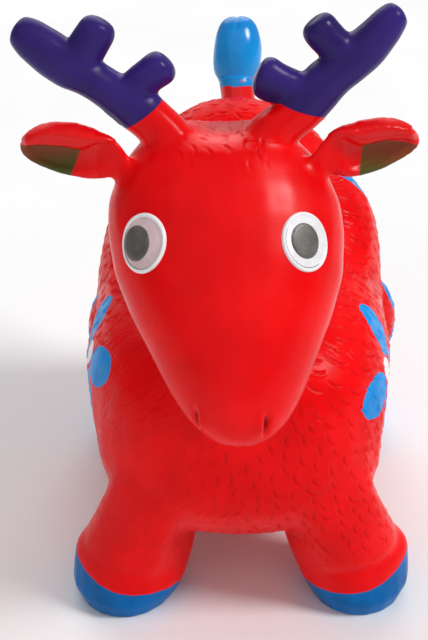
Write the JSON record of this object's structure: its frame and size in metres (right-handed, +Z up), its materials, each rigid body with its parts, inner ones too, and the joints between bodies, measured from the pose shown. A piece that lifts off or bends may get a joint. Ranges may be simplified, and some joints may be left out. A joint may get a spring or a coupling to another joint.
{
  "type": "animal hopper",
  "caption": "Inflatable deer-shaped bouncing seat in red soft vinyl, with antler handles, flapping ears, an upright tail, springy splayed feet and a plugged air valve in the belly.",
  "frame": {"origin": "on the floor, under the middle of the bounding box", "axes": "+Z up, -Y the way the animal faces, +X its left side"},
  "size_m": [0.3142, 0.5318, 0.5185],
  "materials": {
    "red_vinyl": "satin soft vinyl with moulded fur strokes",
    "blue_vinyl": "satin painted vinyl",
    "purple_vinyl": "glossy painted vinyl",
    "eye_white": "glossy white disc",
    "pupil_grey": "glossy dark grey disc",
    "valve_plastic": "matte soft plastic"
  },
  "bodies": {
    "hopper": {"torso": "red_vinyl", "head": "red_vinyl", "neck": "red_vinyl", "leg_front_left": "red_vinyl", "leg_rear_left": "red_vinyl", "leg_front_right": "red_vinyl", "leg_rear_right": "red_vinyl", "eye_left": "eye_white", "eye_right": "eye_white", "pupil_left": "pupil_grey", "pupil_right": "pupil_grey", "valve_collar": "valve_plastic"},
    "antler_left": {"antler_left": "purple_vinyl"},
    "antler_right": {"antler_right": "purple_vinyl"},
    "ear_left": {"ear_left": "red_vinyl"},
    "ear_right": {"ear_right": "red_vinyl"},
    "tail": {"tail_stem": "red_vinyl", "tail_bulb": "blue_vinyl"},
    "air_plug": {"air_plug": "valve_plastic"},
    "hoof_front_left": {"hoof_front_left": "blue_vinyl"},
    "hoof_rear_left": {"hoof_rear_left": "blue_vinyl"},
    "hoof_front_right": {"hoof_front_right": "blue_vinyl"},
    "hoof_rear_right": {"hoof_rear_right": "blue_vinyl"}
  },
  "joints": [
    {"name": "antler_left_bend", "type": "hinge", "parent": "hopper", "child": "antler_left", "pos_m": [0.02631, -0.13451, 0.44143], "axis": [1, 0, 0], "range_deg": [-12, 12], "stiffness_Nm_per_rad": 2},
    {"name": "antler_right_bend", "type": "hinge", "parent": "hopper", "child": "antler_right", "pos_m": [-0.05757, -0.13451, 0.44143], "axis": [1, 0, 0], "range_deg": [-12, 12], "stiffness_Nm_per_rad": 2},
    {"name": "ear_left_flap", "type": "hinge", "parent": "hopper", "child": "ear_left", "pos_m": [0.04872, -0.15145, 0.412], "axis": [0, -1, 0], "range_deg": [-15, 15], "stiffness_Nm_per_rad": 0.4},
    {"name": "ear_right_flap", "type": "hinge", "parent": "hopper", "child": "ear_right", "pos_m": [-0.07528, -0.15145, 0.412], "axis": [0, 1, 0], "range_deg": [-15, 15], "stiffness_Nm_per_rad": 0.4},
    {"name": "tail_wag", "type": "hinge", "parent": "hopper", "child": "tail", "pos_m": [0, 0.21043, 0.309], "axis": [0, 1, 0], "range_deg": [-20, 20], "stiffness_Nm_per_rad": 0.6},
    {"name": "hoof_front_left_bounce", "type": "slide", "parent": "hopper", "child": "hoof_front_left", "axis": [0, 0, 1], "range_m": [0, 0.012], "stiffness_N_per_m": 2500, "deforming": ["leg_front_left"]},
    {"name": "hoof_rear_left_bounce", "type": "slide", "parent": "hopper", "child": "hoof_rear_left", "axis": [0, 0, 1], "range_m": [0, 0.012], "stiffness_N_per_m": 2500, "deforming": ["leg_rear_left"]},
    {"name": "hoof_front_right_bounce", "type": "slide", "parent": "hopper", "child": "hoof_front_right", "axis": [0, 0, 1], "range_m": [0, 0.012], "stiffness_N_per_m": 2500, "deforming": ["leg_front_right"]},
    {"name": "hoof_rear_right_bounce", "type": "slide", "parent": "hopper", "child": "hoof_rear_right", "axis": [0, 0, 1], "range_m": [0, 0.012], "stiffness_N_per_m": 2500, "deforming": ["leg_rear_right"]},
    {"name": "air_plug_pull", "type": "slide", "parent": "hopper", "child": "air_plug", "axis": [0, 0, -1], "range_m": [0, 0.026]}
  ]
}
